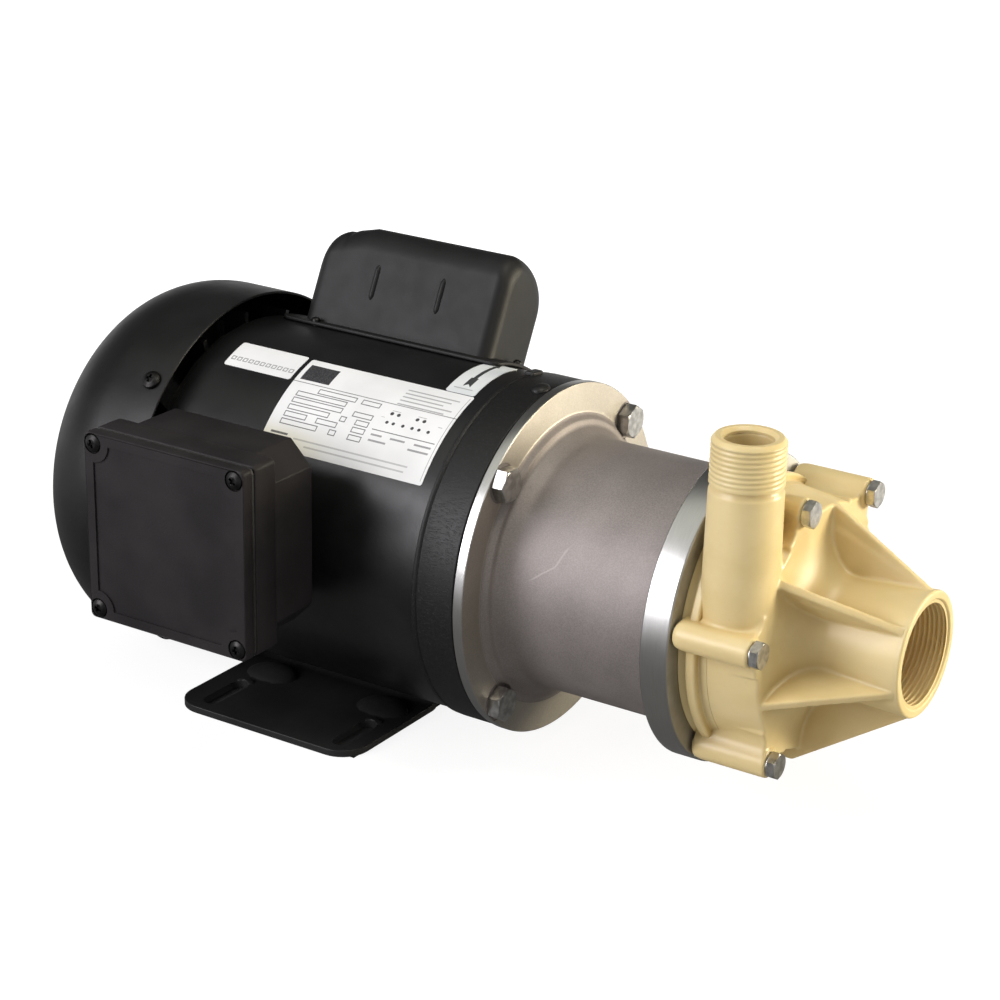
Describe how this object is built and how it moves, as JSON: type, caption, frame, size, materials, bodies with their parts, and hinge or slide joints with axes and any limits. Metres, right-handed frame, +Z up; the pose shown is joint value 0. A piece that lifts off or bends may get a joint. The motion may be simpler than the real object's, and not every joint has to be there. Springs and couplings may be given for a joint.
{
  "type": "magnetic drive pump",
  "caption": "Close-coupled magnetic drive centrifugal pump: plastic pump head with suction and discharge ports, cast adapter and black foot-mounted motor with conduit box and capacitor cover.",
  "frame": {"origin": "centre of the whole pump's footprint, on the ground plane under its feet", "axes": "+X along the shaft towards the suction port, +Z up, the side with the conduit box faces -Y"},
  "size_m": [0.4316, 0.2364, 0.2112],
  "materials": {
    "black_paint": "gloss black enamel on pressed steel",
    "black_casting": "black paint on a rough die casting",
    "black_plastic": "black moulded plastic, faint grain",
    "pump_plastic": "black glass-filled plastic",
    "cast_aluminium": "grey die casting with machined faces",
    "cream_plastic": "natural cream moulded plastic, satin",
    "stainless": "bright stainless hex bolts",
    "black_steel": "blackened steel screws",
    "bearing_steel": "ground steel",
    "shaft_steel": "ground steel",
    "lamination": "stacked electrical steel",
    "copper": "varnished copper winding",
    "magnet": "grey sintered magnet",
    "ceramic": "ground white ceramic",
    "carbon": "grey-black carbon",
    "rubber": "black rubber",
    "capacitor_can": "black capacitor case"
  },
  "bodies": {
    "frame": {"capacitor": "capacitor_can", "capacitor_cover": "black_paint", "capacitor_cover_screw_1": "black_steel", "capacitor_cover_screw_2": "black_steel", "capacitor_cover_screw_3": "black_steel", "capacitor_cover_screw_4": "black_steel", "conduit_box": "black_plastic", "conduit_cover": "black_plastic", "conduit_cover_screw_1": "black_steel", "conduit_cover_screw_2": "black_steel", "conduit_cover_screw_3": "black_steel", "conduit_cover_screw_4": "black_steel", "conduit_gasket": "rubber", "containment_can": "pump_plastic", "drive_bearing_outer_race": "bearing_steel", "drive_endshield": "black_casting", "fan_cover": "black_paint", "fan_cover_screw_1": "black_steel", "fan_cover_screw_2": "black_steel", "fan_cover_screw_3": "black_steel", "fan_cover_screw_4": "black_steel", "flange_bolt_1": "stainless", "flange_bolt_2": "stainless", "flange_bolt_3": "stainless", "flange_bolt_4": "stainless", "front_housing": "cream_plastic", "front_thrust_washer": "ceramic", "housing_bolt_1": "stainless", "housing_bolt_2": "stainless", "housing_bolt_3": "stainless", "housing_bolt_4": "stainless", "housing_bolt_5": "stainless", "housing_bolt_6": "stainless", "housing_o_ring": "rubber", "motor_foot": "black_paint", "motor_shell": "black_paint", "pump_adapter": "cast_aluminium", "rear_bearing_outer_race": "bearing_steel", "rear_endshield": "black_casting", "rear_thrust_washer": "ceramic", "spindle": "ceramic", "stator_core": "lamination", "stator_winding": "copper"},
    "motor_rotor": {"motor_shaft": "shaft_steel", "rotor_core": "lamination", "cooling_fan": "black_plastic", "drive_bearing_inner_race": "bearing_steel", "rear_bearing_inner_race": "bearing_steel", "drive_magnet_hub": "cast_aluminium", "hub_key": "shaft_steel", "hub_set_screw": "shaft_steel", "drive_magnets": "magnet"},
    "pump_rotor": {"impeller": "cream_plastic", "inner_magnet_capsule": "pump_plastic", "impeller_bushing": "carbon"}
  },
  "joints": [
    {"name": "motor_spin", "type": "hinge", "parent": "frame", "child": "motor_rotor", "pos_m": [0, 0.02575, 0.0889], "axis": [1, 0, 0], "continuous": true},
    {"name": "impeller_spin", "type": "hinge", "parent": "frame", "child": "pump_rotor", "pos_m": [0.12, 0.02575, 0.0889], "axis": [1, 0, 0], "continuous": true}
  ],
  "couplings": [
    {"joint": "impeller_spin", "follows": "motor_spin", "ratio": 1}
  ]
}
